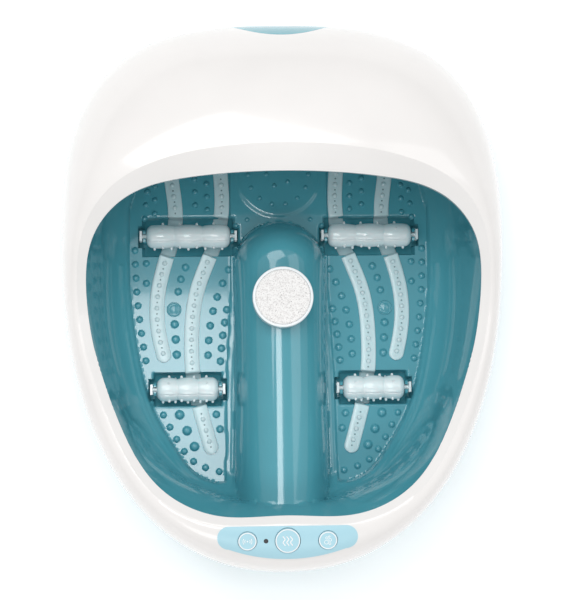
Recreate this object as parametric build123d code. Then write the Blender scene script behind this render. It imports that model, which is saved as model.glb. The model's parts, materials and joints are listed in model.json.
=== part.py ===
from build123d import *
import math
import os

# Foot spa basin. Millimetres, +Z up, +Y towards the hood (toe end), +X to the right.
# The origin is on the floor, below the middle of the overall length and width.

# ---- driving dimensions -------------------------------------------------------------
OVERALL_WIDTH = 356.0
OVERALL_LENGTH = 446.0
WIDEST_Y = 40.0            # station of the greatest width, measured from the middle
SEAM_Z = 92.0              # top cover meets lower body
RIM_Z = 132.0              # top face of the basin's rim flange
FLOOR_Z = 52.0             # basin floor around the footbeds
FOOTBED_Z = 50.0           # recessed floor that the soles rest on
HOOD_TOP_Z = 200.0         # clear above the hood, for cutting tools
COVER_WALL = 2.8
PANEL_SINK = 1.4           # depth of the panel's inlay in the cover
PANEL_PROUD = 0.3
BASIN_WALL = 3.0
BODY_WALL = 2.6
BASE_Z = 4.0               # underside of the base plate
BASE_THICK = 3.0
RUNNING_GAP = 0.08         # radial clearance of an axle in its bearing

# opening in the top cover, seen from above
OPENING_FRONT_Y = -177.0
OPENING_REAR_Y = 89.0
OPENING_HALF_WIDTH = 156.0
OPENING_FRONT_Z = 140.0
HOOD_RISE = 44.0           # height of the hood's edge above the front of the opening

# foot rollers: centre y, half length of the lobed body, for the left and right foot
ROLLER_X = {"toe": 76.0, "heel": 77.5}
ROLLER_Y = {"toe": 54.0, "heel": -74.0}
ROLLER_HALF = {"toe": 35.0, "heel": 25.5}
POCKET_HALF_Y = {"toe": 16.0, "heel": 13.6}
ROLLER_Z = 54.0
ROLLER_R = 10.0
NECK_R = 8.2
AXLE_R = 2.0
PIN_HEIGHT = 1.8
POCKET_FLOOR_Z = 39.0
EAR_GAP = 0.6              # lobed body to bearing ear
EAR_THICK = 2.2
FLANGE_GAP = 0.8           # bearing ear to end flange
FLANGE_THICK = 2.0

# central ridge between the feet
RIDGE_HALF = 39.0
RIDGE_TOP_Z = 102.0
RIDGE_REAR_Y = 27.0        # centre of the rounded rear end
PUMICE_Y = -3.0
PUMICE_R = 22.4
HOLDER_R = 24.5
HOLDER_Z = 103.0

# controls on the front rim
PANEL_Y = -198.0
PANEL_HALF_X = 55.0
PANEL_HALF_Y = 13.0
PANEL_TILT = 14.0          # lean of the panel's normal towards the front, degrees
BUTTONS = {"massage": (-31.5, 7.4), "heat": (0.0, 9.9), "bubble": (31.5, 7.4)}
BUTTON_Y = -196.5
BUTTON_Z = 142.6           # where a button's axis meets the panel
INDICATOR_X = -17.0
BUTTON_GAP = 0.35

SIDES = {"left": -1, "right": 1}


# ---- small helpers ------------------------------------------------------------------
def block(x0, x1, y0, y1, z0, z1):
    return Pos((x0 + x1) / 2, (y0 + y1) / 2, (z0 + z1) / 2) * Box(x1 - x0, y1 - y0, z1 - z0)


def post(radius, x, y, z0, z1):
    return Pos(x, y, (z0 + z1) / 2) * Cylinder(radius, z1 - z0)


def rod_y(radius, x, z, y0, y1):
    return Pos(x, (y0 + y1) / 2, z) * Rot(90, 0, 0) * Cylinder(radius, y1 - y0)


def rod_x(radius, y, z, x0, x1):
    return Pos((x0 + x1) / 2, y, z) * Rot(0, 90, 0) * Cylinder(radius, x1 - x0)


def group(solids):
    return Compound(children=[s if isinstance(s, Solid) else s.solid() for s in solids])


def single(shape):
    """The largest solid of a boolean result."""
    return max(shape.solids(), key=lambda s: s.volume)


# ---- egg-shaped outlines ------------------------------------------------------------
class Egg:
    """Two half superellipses that share their widest station."""

    def __init__(self, half_width, front_y, rear_y, widest_y, front_power, rear_power):
        self.half_width = half_width
        self.front_y = front_y
        self.rear_y = rear_y
        self.widest_y = widest_y
        self.front_power = front_power
        self.rear_power = rear_power

    def grown(self, by):
        return Egg(self.half_width + by, self.front_y - by, self.rear_y + by,
                   self.widest_y, self.front_power, self.rear_power)

    def point(self, turn, z=0.0):
        """Point at a turn in degrees: -90 front, 0 widest on the right, 90 rear, 180 left."""
        angle = math.radians(turn)
        rear = math.sin(angle) >= 0
        power = self.rear_power if rear else self.front_power
        reach = (self.rear_y if rear else self.front_y) - self.widest_y
        x = self.half_width * abs(math.cos(angle)) ** (2 / power)
        y = self.widest_y + reach * abs(math.sin(angle)) ** (2 / power)
        return Vector(math.copysign(x, math.cos(angle)), y, z)

    def wire(self, z):
        ahead = {0: (0, 1, 0), 90: (-1, 0, 0), 180: (0, -1, 0), 270: (1, 0, 0)}
        edges = []
        for start in (0, 90, 180, 270):
            points = [self.point(start + step * 90 / 7, z) for step in range(8)]
            ends = [Vector(*ahead[start]), Vector(*ahead[(start + 90) % 360])]
            edges.append(Edge.make_spline(points, tangents=ends))
        return Wire(edges)

    def prism(self, z0, z1):
        return Solid.extrude(Face(self.wire(z0)), Vector(0, 0, z1 - z0))

    def radius(self, azimuth, axis_y):
        """Distance from (0, axis_y) to the right half of the outline along an azimuth."""
        low, high = -90.0, 90.0
        for _ in range(40):
            middle = (low + high) / 2
            p = self.point(middle)
            if math.degrees(math.atan2(p.Y - axis_y, p.X)) < azimuth:
                low = middle
            else:
                high = middle
        p = self.point(high)
        return math.hypot(p.X, p.Y - axis_y)


def egg_loft(levels):
    """Solid through (egg, z) levels, smooth from the bottom to the top."""
    return Solid.make_loft([egg.wire(z) for egg, z in levels])


HALF_WIDTH = OVERALL_WIDTH / 2
HALF_LENGTH = OVERALL_LENGTH / 2
OUTLINE = Egg(HALF_WIDTH, -HALF_LENGTH, HALF_LENGTH, WIDEST_Y, 2.22, 2.9)
RIM = Egg(163.0, -181.0, 205.0, 35.0, 2.7, 2.9)
RIM_FLANGE = Egg(174.0, -191.0, 213.5, 35.0, 2.5, 2.8)
FLOOR = Egg(124.0, -150.0, 176.0, 30.0, 2.4, 2.6)

# ---- top cover ----------------------------------------------------------------------
AXIS_Y = -10.0             # sections of the cover radiate from this point
BOSS_R = 3.2
SCREW_R = 1.5
AZIMUTHS = [-110 + 10 * k for k in range(23)]   # past the middle plane at both ends
SHOULDER_FULLNESS = 2.8    # power of the shoulder's curve at the front
HOOD_SLACK = 0.95          # by which that power falls towards the hood
LIP_DROP = 7.9


def blend(value, start, end):
    """0 before start, 1 after end, smooth between them."""
    t = min(1.0, max(0.0, (value - start) / (end - start)))
    return t * t * (3 - 2 * t)


def opening_curve():
    """Right half of the opening's edge, front to rear, rising along the hood's sides."""
    plan = [(0, OPENING_FRONT_Y), (55, -176.5), (98, -155.5), (130, -105), (150, -45),
            (OPENING_HALF_WIDTH, 5), (150, 40), (125, 69), (74, 84.5), (0, OPENING_REAR_Y)]
    points = [Vector(x, y, 0) for x, y in plan]
    return Edge.make_spline(points, tangents=[Vector(1, 0, 0), Vector(-1, 0, 0)])


OPENING = opening_curve()


def opening_radius(azimuth):
    low, high = 0.0, 1.0
    for _ in range(34):
        middle = (low + high) / 2
        p = OPENING.position_at(middle)
        if math.degrees(math.atan2(p.Y - AXIS_Y, p.X)) < azimuth:
            low = middle
        else:
            high = middle
    p = OPENING.position_at(high)
    return math.hypot(p.X, p.Y - AXIS_Y)


def cover_profile(azimuth):
    """Radii and heights that set the cover's section at an azimuth, the same left and right."""
    if abs(azimuth) > 90:
        azimuth = math.copysign(180 - abs(azimuth), azimuth)
    edge_r = opening_radius(azimuth)
    edge_y = AXIS_Y + edge_r * math.sin(math.radians(azimuth))
    hood = blend(azimuth, 8, 60)
    edge_z = OPENING_FRONT_Z + HOOD_RISE * blend(edge_y, -25, 110) / blend(OPENING_REAR_Y, -25, 110)
    return {
        "edge_r": edge_r,
        "edge_z": edge_z,
        "crease_r": edge_r + 7.0 + 13.0 * hood,
        "crease_z": edge_z + 3.5 + 8.5 * hood,
        "outer_r": OUTLINE.radius(azimuth, AXIS_Y),
        "fullness": SHOULDER_FULLNESS - HOOD_SLACK * blend(azimuth, -40, 60),
    }


def shoulder(profile, offset, steps=6):
    """Section from the seam up over the shoulder to the crease, as (radius, height)."""
    reach = profile["outer_r"] + offset - profile["crease_r"]
    rise = profile["crease_z"] + offset - SEAM_Z
    points = []
    for step in range(steps + 1):
        angle = math.radians(90 - 90 * step / steps)
        out = math.sin(angle) ** (2 / profile["fullness"])
        up = max(0.0, math.cos(angle)) ** (2 / profile["fullness"])
        points.append((profile["crease_r"] + reach * out, SEAM_Z + rise * up))
    return points


def spatial(azimuth, radius, z):
    angle = math.radians(azimuth)
    return Vector(radius * math.cos(angle), AXIS_Y + radius * math.sin(angle), z)


def cover_section(azimuth, outer, inner):
    """Closed section of the cover between two offsets of its outer surface."""
    p = cover_profile(azimuth)
    upper = [spatial(azimuth, r, z) for r, z in shoulder(p, outer)]
    lower = [spatial(azimuth, r, z) for r, z in shoulder(p, inner)]
    thick = outer - inner
    edge = spatial(azimuth, p["edge_r"], p["edge_z"] + outer)
    foot = spatial(azimuth, p["edge_r"] + 0.8, p["edge_z"] - LIP_DROP)
    heel = spatial(azimuth, p["edge_r"] + 0.8 + thick, p["edge_z"] - LIP_DROP)
    out = Edge.make_spline(upper)
    back = Edge.make_spline(lower[::-1])
    return Wire([out, Edge.make_line(upper[-1], edge), Edge.make_line(edge, foot),
                 Edge.make_line(foot, heel), Edge.make_line(heel, lower[-1]), back,
                 Edge.make_line(lower[0], upper[0])])


def cover_ring(outer, inner):
    half = Solid.make_loft([cover_section(a, outer, inner) for a in AZIMUTHS])
    half = single(half & block(0, 300, -300, 300, 0, 300))
    return single(half + half.mirror(Plane.YZ))


def panel_prism(grow):
    """Stadium with a bowed front edge, seen from above."""
    x, y = PANEL_HALF_X + grow, PANEL_HALF_Y + grow
    ends = 9.0 + grow
    outline = Wire([
        Edge.make_line((-(x - ends), PANEL_Y + y, 0), (x - ends, PANEL_Y + y, 0)),
        Edge.make_three_point_arc((x - ends, PANEL_Y + y, 0), (x, PANEL_Y + y - ends, 0),
                                  (x - ends, PANEL_Y + y - 2 * ends, 0)),
        Edge.make_three_point_arc((x - ends, PANEL_Y + y - 2 * ends, 0), (0, PANEL_Y - y, 0),
                                  (-(x - ends), PANEL_Y + y - 2 * ends, 0)),
        Edge.make_three_point_arc((-(x - ends), PANEL_Y + y - 2 * ends, 0), (-x, PANEL_Y + y - ends, 0),
                                  (-(x - ends), PANEL_Y + y, 0)),
    ])
    return Pos(0, 0, 110) * Solid.extrude(Face(outline), Vector(0, 0, 50))


def tilted(x):
    """Frame on the panel: local +Z is the panel's normal."""
    return Pos(x, BUTTON_Y, BUTTON_Z) * Rot(PANEL_TILT, 0, 0)


GRIP_HALF = 46.0           # half width of the teal grip behind its arc
GRIP_DEPTH = 18.0          # from the rearmost point of the cover to the arc
GRIP_END_INSET = 1.4       # from there to the arc's ends
GRIP_SINK = 0.6            # grip's face below the cover's


def scallop(grow, z0, z1):
    """Crescent at the rear centre, between an arc and the outside."""
    half, depth = GRIP_HALF + grow, GRIP_DEPTH + grow
    y_end = OUTLINE.rear_y - GRIP_END_INSET
    line = Edge.make_three_point_arc((-half, y_end, z0), (0, OUTLINE.rear_y - depth, z0), (half, y_end, z0))
    out = [Edge.make_line((half, y_end, z0), (half, y_end + 20, z0)),
           Edge.make_line((half, y_end + 20, z0), (-half, y_end + 20, z0)),
           Edge.make_line((-half, y_end + 20, z0), (-half, y_end, z0))]
    return Solid.extrude(Face(Wire([line] + out)), Vector(0, 0, z1 - z0))


def cover_height(x, y):
    """Height of the cover's outer surface, outside the crease."""
    p = cover_profile(math.degrees(math.atan2(y - AXIS_Y, abs(x))))
    out = (math.hypot(x, y - AXIS_Y) - p["crease_r"]) / (p["outer_r"] - p["crease_r"])
    out = min(1.0, max(0.0, out))
    return SEAM_Z + (p["crease_z"] - SEAM_Z) * (1 - out ** p["fullness"]) ** (1 / p["fullness"])


def cover_screw_places():
    return [RIM.grown(5.8).point(turn) for turn in (-62, -2, 25, 155, 182, 242)]


def build_cover_set():
    ring = cover_ring(0.0, -COVER_WALL)
    layer = cover_ring(PANEL_PROUD, -PANEL_SINK)
    panel = single(layer & panel_prism(0.0))
    cover = ring - (layer & panel_prism(0.25)) - scallop(0.0, SEAM_Z - 1, HOOD_TOP_Z)
    for p in cover_screw_places():
        outward = Vector(p.X, p.Y - AXIS_Y, 0).normalized() * BOSS_R
        top = cover_height(p.X + outward.X, p.Y + outward.Y) - 1.0
        cover = cover + post(BOSS_R, p.X, p.Y, RIM_Z, top) - post(SCREW_R, p.X, p.Y, RIM_Z - 6, 138.0)
    holes = [tilted(x) * Cylinder(r + BUTTON_GAP, 30) for x, r in BUTTONS.values()]
    holes.append(tilted(INDICATOR_X) * Cylinder(1.8, 30))
    for hole in holes:
        cover = cover - hole
        panel = panel - hole
    grip = single(cover_ring(-GRIP_SINK, -COVER_WALL) & scallop(-0.3, SEAM_Z, HOOD_TOP_Z))
    return {"top_cover": single(cover), "control_panel": single(panel), "rear_grip": grip}


# ---- controls -----------------------------------------------------------------------
BUTTON_TOP = 0.9           # button face above the panel
STEM_END = -8.0            # underside of a button's stem, along the panel's normal
SWITCH_TOP = -9.4
BOARD_TOP = -12.0


def build_button(x, radius):
    """Round cap with a rounded edge, a retaining skirt below the cover and a stem."""
    cap = Pos(0, 0, (BUTTON_TOP - 5.6) / 2) * Cylinder(radius, BUTTON_TOP + 5.6)
    cap = fillet(cap.edges().group_by(Axis.Z)[-1], 0.7)
    skirt = Pos(0, 0, -5.6) * Cylinder(radius + 1.4, 1.2)
    stem = Pos(0, 0, (STEM_END - 5.6) / 2) * Cylinder(2.4, -STEM_END - 5.6 + 1.0)
    stem = Pos(0, 0, 0.5) * stem
    return tilted(x) * (cap + skirt + stem)


def build_controls():
    board = tilted(0) * (Pos(0, -4, BOARD_TOP - 0.8) * Box(94, 15, 1.6))
    switches = []
    for x, _ in BUTTONS.values():
        switches.append(tilted(x) * (Pos(0, 0, BOARD_TOP + 0.9) * Box(6, 6, 1.8)
                                     + Pos(0, 0, (BOARD_TOP + SWITCH_TOP) / 2 + 0.9)
                                     * Cylinder(1.7, SWITCH_TOP - BOARD_TOP - 1.8)))
    led = tilted(INDICATOR_X) * (Pos(0, 0, BOARD_TOP + 2.5) * Cylinder(1.5, 5.0))
    lens = tilted(INDICATOR_X) * (Pos(0, 0, -2.0) * Cylinder(1.8, 5.2))
    buttons = {f"{name}_button": build_button(x, r) for name, (x, r) in BUTTONS.items()}
    return {"button_board": board, "tact_switches": group(switches), "indicator_led": led,
            "indicator_lens": lens, **buttons}


# ---- basin --------------------------------------------------------------------------
def basin_levels(grow, base_z, top_z):
    return [(FLOOR.grown(grow), base_z), (FLOOR.grown(grow + 9.0), base_z + 7.0),
            (Egg(151.0 + grow, -168.0 - grow, 193.0 + grow, 33.0, 2.5, 2.75), 92.0),
            (RIM.grown(grow), top_z)]


def ridge(inset, z0):
    """Rounded hump from the front wall to a domed rear end."""
    half, top = RIDGE_HALF - inset, RIDGE_TOP_Z - inset
    base = FLOOR_Z - 5.0
    curve = [Vector(half * math.cos(math.radians(a)) ** 0.85, 0,
                    base + (top - base) * math.sin(math.radians(a)) ** 0.9)
             for a in (0, 14, 28, 42, 56, 70, 80, 90)]
    side = Edge.make_spline(curve, tangents=[Vector(0, 0, 1), Vector(-1, 0, 0)])
    sill = [Edge.make_line(curve[-1], (0, 0, z0)), Edge.make_line((0, 0, z0), (half, 0, z0)),
            Edge.make_line((half, 0, z0), curve[0])]
    half_face = Face(Wire([side] + sill))
    dome = Pos(0, RIDGE_REAR_Y, 0) * Solid.revolve(half_face, 360, Axis.Z)
    length = RIDGE_REAR_Y + 178.0 - inset
    right = Solid.extrude(half_face, Vector(0, -length, 0))
    bar = Pos(0, RIDGE_REAR_Y, 0) * (right + right.mirror(Plane.YZ))
    return single(dome + bar)


def footbed_prism(side, z0, z1):
    """Foot-shaped recess, from the toe end under the hood to the rounded heel."""
    outer = [(93, 148), (89, 85), (125, 40), (125, 0), (112, -73), (89, -126), (56, -153)]
    inner = [(45, -138), (44, -63), (40, 10), (44, 85), (47, 148)]
    loop = [Vector(side * x, y, z0) for x, y in outer[2:] + inner[:3]]
    heel = Edge.make_spline(loop, tangents=[Vector(0, -1, 0), Vector(0, 1, 0)])
    toe = [Edge.make_line(loop[-1], (side * 40, 150, z0)),
           Edge.make_line((side * 40, 150, z0), (side * 104, 150, z0)),
           Edge.make_line((side * 104, 150, z0), loop[0])]
    return Solid.extrude(Face(Wire([heel] + toe)), Vector(0, 0, z1 - z0))


def pocket_blocks(row, side, inset):
    """Recess for one roller: the main pocket and the two end pockets for its flanges."""
    x, y, half = side * ROLLER_X[row], ROLLER_Y[row], ROLLER_HALF[row]
    body = half + EAR_GAP + EAR_THICK - inset
    tip = half + EAR_GAP + EAR_THICK + FLANGE_GAP + FLANGE_THICK + 1.0 - inset
    deep, wide = POCKET_FLOOR_Z + inset, POCKET_HALF_Y[row] - inset
    main = block(x - body, x + body, y - wide, y + wide, deep, FLOOR_Z + 10)
    ends = block(x - tip, x + tip, y - 8.4 + inset, y + 8.4 - inset, deep, FLOOR_Z + 10)
    return main + ends


def bearing_ears(row, side):
    x, y, half = side * ROLLER_X[row], ROLLER_Y[row], ROLLER_HALF[row]
    near = half + EAR_GAP
    ears = []
    for end in (-1, 1):
        a, b = x + end * near, x + end * (near + EAR_THICK)
        ear = block(min(a, b), max(a, b), y - 5.5, y + 5.5, POCKET_FLOOR_Z - 1, ROLLER_Z + 4.2)
        ear = ear - rod_x(AXLE_R + RUNNING_GAP, y, ROLLER_Z, min(a, b) - 1, max(a, b) + 1)
        ear = ear - block(min(a, b) - 1, max(a, b) + 1, y - 1.6, y + 1.6, ROLLER_Z, ROLLER_Z + 9)
        ears.append(ear)
    return ears


ROLLERS = [(row, name, side) for row in ("toe", "heel") for name, side in SIDES.items()]
BASIN_POSTS = [(side * x, y) for side in (-1, 1) for x, y in ((116, -22), (118, 82), (58, 156))]


def build_basin():
    shell = egg_loft(basin_levels(BASIN_WALL, FLOOR_Z - BASIN_WALL - 2.0, RIM_Z))
    flange = RIM_FLANGE.prism(RIM_Z - 2.8, RIM_Z) - cover_ring(0.0, -COVER_WALL - 0.4)
    flange = single(flange) - block(-50, 50, -220, -188.8, 100, 150)
    shell = shell + flange
    cavity = egg_loft(basin_levels(0.0, FLOOR_Z, RIM_Z + 0.01)) + RIM.prism(RIM_Z, RIM_Z + 5)
    cavity = cavity - ridge(0.0, FLOOR_Z - 20)
    basin = shell - cavity
    for name, side in SIDES.items():
        basin = basin - footbed_prism(side, FOOTBED_Z, FLOOR_Z + 6)
    for row, name, side in ROLLERS:
        basin = basin + (pocket_blocks(row, side, -BASIN_WALL) & block(-200, 200, -200, 200, 30, FLOOR_Z - 2.5))
    for row, name, side in ROLLERS:
        basin = basin - pocket_blocks(row, side, 0.0)
        for ear in bearing_ears(row, side):
            basin = basin + ear
    basin = basin - (ridge(BASIN_WALL, 20) & block(-60, 60, -158, 80, 20, 110))
    for x, y in BASIN_POSTS:
        basin = basin + post(5.0, x, y, BASE_Z + 2 * BASE_THICK, FLOOR_Z - 3.5)
        basin = basin - post(1.5, x, y, BASE_Z + 2 * BASE_THICK - 1, 30)
    for p in cover_screw_places():
        basin = basin - post(1.8, p.X, p.Y, RIM_Z - 4, RIM_Z + 1)
    spigot = post(8.0, 0, PUMICE_Y, RIDGE_TOP_Z - 2.5, HOLDER_Z + 5.0)
    return {"basin": single(basin + spigot)}


# ---- rollers ------------------------------------------------------------------------
def lobed_body(half):
    """Three barrel lobes with necks between them and closed rounded ends."""
    lobe = half / 3
    crest = [(-half + 2 * lobe * k + lobe, ROLLER_R) for k in range(3)]
    necks = [(-half + 2 * lobe * k, NECK_R) for k in range(1, 3)]
    line = sorted(crest + necks)
    points = [Vector(-half, 6.6, 0), Vector(-half + 1.4, 8.2, 0)]
    points += [Vector(u, v, 0) for u, v in line]
    points += [Vector(half - 1.4, 8.2, 0), Vector(half, 6.6, 0)]
    top = Edge.make_spline(points)
    rest = [Edge.make_line((half, 6.6, 0), (half, 0, 0)), Edge.make_line((half, 0, 0), (-half, 0, 0)),
            Edge.make_line((-half, 0, 0), (-half, 6.6, 0))]
    return Solid.revolve(Face(Wire([top] + rest)), 360, Axis.X)


def pin_rows(half):
    """Massage pins in four lines along the body, staggered line by line."""
    pins = []
    for line, angle in enumerate((30, 150, 210, 330)):
        count = 8 if line % 2 else 9
        pitch = 2 * half / 9.6
        for k in range(count):
            along = (k - (count - 1) / 2) * pitch
            lobe = half / 3
            phase = (along + half) / (2 * lobe)
            skin = NECK_R + (ROLLER_R - NECK_R) * math.sin(math.pi * (phase % 1)) ** 0.7
            pin = Pos(along, 0, skin + PIN_HEIGHT / 2 - 0.6) * Cone(1.2, 0.7, PIN_HEIGHT + 1.0)
            pins.append(Rot(angle - 90, 0, 0) * pin)
    return pins


def build_roller(row, name, side):
    half = ROLLER_HALF[row]
    place = Pos(side * ROLLER_X[row], ROLLER_Y[row], ROLLER_Z)
    body = lobed_body(half)
    for pin in pin_rows(half):
        body = body + pin
    body = body - rod_x(AXLE_R, 0, 0, -half - 1, half + 1)
    wide = block(-60, 60, -20, 20, 0, 20)
    low = block(-60, 60, -20, 20, -20, 0)
    tip = half + EAR_GAP + EAR_THICK + FLANGE_GAP + FLANGE_THICK
    axle = rod_x(AXLE_R, 0, 0, -tip, tip)
    for end in (-1, 1):
        a, b = sorted((end * (tip - FLANGE_THICK), end * tip))
        plate = block(a, b, -4.2, 4.2, -5.6, 5.6)
        plate = plate - block(a - 1, b + 1, 1.8, 5, -2.6, 2.6) - block(a - 1, b + 1, -5, -1.8, -2.6, 2.6)
        axle = axle + plate
    base = f"{row}_roller_{name}"
    return {f"{base}_upper_shell": place * single(body & wide),
            f"{base}_lower_shell": place * single(body & low),
            f"{base}_axle": place * single(axle)}


# ---- bubble strips ------------------------------------------------------------------
STRIP_HALF = 6.2
STRIP_THICK = 1.8
STRIP_LINES = {
    "outer": [(92, 140), (90, 104), (87, 67), (94, 38), (101.5, 8), (102, -22), (98, -41)],
    "inner": [(52, 140), (48.5, 104), (49, 67), (58, 38), (69.5, 7), (74, -30), (73, -62),
              (66, -96), (59, -119)],
}


def ribbon(points, half, z0, z1):
    """Flat band of constant width along a smooth line, with round ends."""
    line = Edge.make_spline([Vector(x, y, z0) for x, y in points])
    stations = [k / 10 for k in range(11)]
    across = [Vector(0, 0, 1).cross(line.tangent_at(u)).normalized() * half for u in stations]
    centres = [line.position_at(u) for u in stations]
    one = [c + a for c, a in zip(centres, across)]
    two = [c - a for c, a in zip(centres, across)]
    end, start = line.tangent_at(1) * half, line.tangent_at(0) * -half
    outline = Wire([Edge.make_spline(one), Edge.make_three_point_arc(one[-1], centres[-1] + end, two[-1]),
                    Edge.make_spline(two[::-1]),
                    Edge.make_three_point_arc(two[0], centres[0] + start, one[0])])
    return Solid.extrude(Face(outline), Vector(0, 0, z1 - z0))


def floor_layer(side):
    """Layer of strip thickness on the footbed that steps down into the roller pockets."""
    above = block(-150, 150, -200, 200, FOOTBED_Z, 80)
    lifted = block(-150, 150, -200, 200, FOOTBED_Z + STRIP_THICK, 80)
    for row in ("toe", "heel"):
        above = above + pocket_blocks(row, side, 0.0)
        lifted = lifted + pocket_blocks(row, side, STRIP_THICK - 0.4)
    return above - lifted


def build_strips():
    strips = {}
    for name, side in SIDES.items():
        layer = floor_layer(side)
        for place, line in STRIP_LINES.items():
            band = ribbon([(side * x, y) for x, y in line], STRIP_HALF, 30, 75)
            strips[f"bubble_strip_{name}_{place}"] = single(band & layer)
    return strips


# ---- pumice attachment --------------------------------------------------------------
def build_pumice():
    cup = post(HOLDER_R, 0, PUMICE_Y, HOLDER_Z, HOLDER_Z + 14.5)
    cup = fillet(cup.edges().group_by(Axis.Z)[-1], 0.8)
    cup = cup - post(PUMICE_R, 0, PUMICE_Y, HOLDER_Z + 7.5, HOLDER_Z + 16)
    cup = cup - post(8.3, 0, PUMICE_Y, HOLDER_Z - 1, HOLDER_Z + 5.4)
    stone = post(PUMICE_R, 0, PUMICE_Y, HOLDER_Z + 7.5, HOLDER_Z + 15.5)
    stone = fillet(stone.edges().group_by(Axis.Z)[-1], 1.6)
    return {"pumice_holder": cup, "pumice_stone": stone}


# ---- lower body and base ------------------------------------------------------------
BODY_LEVELS = ((44.0, BASE_Z + BASE_THICK), (24.0, 34.0), (9.0, 64.0), (2.0, SEAM_Z))
FEET = [(side * x, y) for side in (-1, 1) for x, y in ((68, -128), (112, 10), (78, 132))]
BLOWER_PLACE = (0.0, -88.0)
GLAND_PLACE = (62.0, 30.0)     # x and z of the mains inlet on the rear wall


def body_levels(inset):
    return [(OUTLINE.grown(-step - inset), z) for step, z in BODY_LEVELS]


def build_body():
    body = egg_loft(body_levels(0.0))
    inner = body_levels(BODY_WALL)
    inner[-1] = (inner[-1][0], SEAM_Z + 0.01)
    body = body - (egg_loft(inner) & block(-300, 300, -300, 300, BASE_Z + 2 * BASE_THICK, 300))
    body = body - OUTLINE.grown(-64.0).prism(0, 20)
    gland_x, gland_z = GLAND_PLACE
    body = body + rod_y(11.0, gland_x, gland_z, 192, 203.5) - rod_y(7.0, gland_x, gland_z, 150, 260)
    plate = OUTLINE.grown(-46.0).prism(BASE_Z, BASE_Z + BASE_THICK)
    screws = []
    for x, y in BASIN_POSTS:
        body = body - post(1.7, x, y, 0, 20)
        plate = plate - post(1.7, x, y, 0, 20) - post(3.2, x, y, 0, BASE_Z + 1.4)
        screws.append(post(1.5, x, y, BASE_Z + 0.4, 24) + post(3.0, x, y, BASE_Z + 0.2, BASE_Z + 1.4))
    bx, by = BLOWER_PLACE
    for k in range(-3, 4):
        plate = plate - block(bx - 15, bx + 15, by + 6 * k - 1.5, by + 6 * k + 1.5, 0, 20)
    feet = []
    for x, y in FEET:
        plate = plate - post(11.0, x, y, 0, BASE_Z + 0.8)
        foot = post(11.0, x, y, 0, BASE_Z + 0.8)
        feet.append(fillet(foot.edges().group_by(Axis.Z)[0], 1.2))
    gland = rod_y(6.9, gland_x, gland_z, 186, 203.5) + rod_y(9.0, gland_x, gland_z, 203.5, 206)
    gland = gland - rod_y(3.2, gland_x, gland_z, 180, 220)
    cover_screws = [post(SCREW_R, p.X, p.Y, RIM_Z - 3.4, 137.5) + post(2.6, p.X, p.Y, RIM_Z - 4.8, RIM_Z - 2.8)
                    for p in cover_screw_places()]
    return {"lower_body": single(body), "base_plate": single(plate), "base_screws": group(screws),
            "rubber_feet": group(feet), "cord_gland": single(gland),
            "cover_screws": group(cover_screws)}


# ---- internal wiring ----------------------------------------------------------------
def lead(points, radius):
    """Round lead through points, with an arc as large as its runs allow at each corner."""
    stops = [Vector(*p) for p in points]
    radii = []
    for before, here, after in zip(stops, stops[1:], stops[2:]):
        turn = math.radians((here - before).get_angle(after - here))
        shorter = min((here - before).length, (after - here).length)
        radii.append(0.45 * shorter / math.tan(turn / 2))
    path = FilletPolyline(*stops, radius=radii)
    section = Plane(origin=path @ 0, z_dir=path % 0) * Circle(radius)
    return sweep(section, path=path).solid()


def build_leads():
    return {
        "mains_lead": lead([(62, 185.8, 30), (60, 177, 29), (48, 170, 26), (37, 161, 22), (35, 146, 18.9)], 2.0),
        "control_lead": lead([(-40, 111.8, 16), (-40, 80, 15), (-38, 30, 14), (-36, -30, 14), (-35, -90, 15),
                              (-35, -140, 20), (-35, -172, 38), (-35, -190, 66), (-35, -198, 96),
                              (-35, -197.5, 122)], 1.6),
        "motor_lead": lead([(10, 111.8, 16), (10, 92, 17), (9, 72, 28), (7, 58, 46), (5, 51, 64),
                            (5, 45, 72), (5, 38.6, 73)], 1.4),
    }


# ---- works under the floor ----------------------------------------------------------
PLATE_TOP = BASE_Z + BASE_THICK


def build_blower():
    """Centrifugal air pump that stands on the base plate, inside the hollow ridge."""
    x, y = BLOWER_PLACE
    scroll = post(27, x, y, PLATE_TOP, 29) + block(x - 27, x - 12, y, y + 38, PLATE_TOP, 29)
    scroll = scroll - post(25, x, y, PLATE_TOP + 2, 40) - post(15, x, y, 0, 40)
    scroll = scroll - block(x - 25, x - 14, y, y + 40, PLATE_TOP + 2, 27)
    lid = post(27, x, y, 29, 31) - post(4.5, x, y, 20, 40)
    motor = post(14, x, y, 31, 62)
    motor = fillet(motor.edges().group_by(Axis.Z)[-1], 1.5)
    disc = post(22, x, y, 24.5, 26)
    wheel = disc + post(4.0, x, y, 14, 30) + post(1.5, x, y, 30, 30.9)
    for k in range(12):
        blade = Pos(x, y, 0) * Rot(0, 0, 30 * k) * block(14, 21.6, -0.7, 0.7, 11, 25)
        wheel = wheel + blade
    return {"blower_housing": single(scroll), "blower_cover": single(lid), "blower_motor": motor,
            "blower_impeller": single(wheel)}


def build_vibration():
    """Motor with an off-centre weight, hung on a bracket below the ridge's crown."""
    motor = rod_y(12, 0, 72, 4, 38)
    shaft = rod_y(1.5, 0, 72, -9.5, 3.6)
    weight = Pos(0, -4.5, 72) * Rot(90, 0, 0) * Cylinder(9, 7)
    weight = (weight & block(-20, 20, -20, 20, 50, 73.5)) + rod_y(3.2, 0, 72, -8, -1)
    bracket = block(-15, 15, 8, 34, 84, 86.5) + block(-15, -12.1, 8, 34, 60, 86) + block(12.1, 15, 8, 34, 60, 86)
    bracket = bracket + block(-5, 5, 14, 28, 86, 98.2)
    return {"vibration_motor": motor, "eccentric_weight": single(weight + shaft),
            "motor_bracket": single(bracket)}


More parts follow.
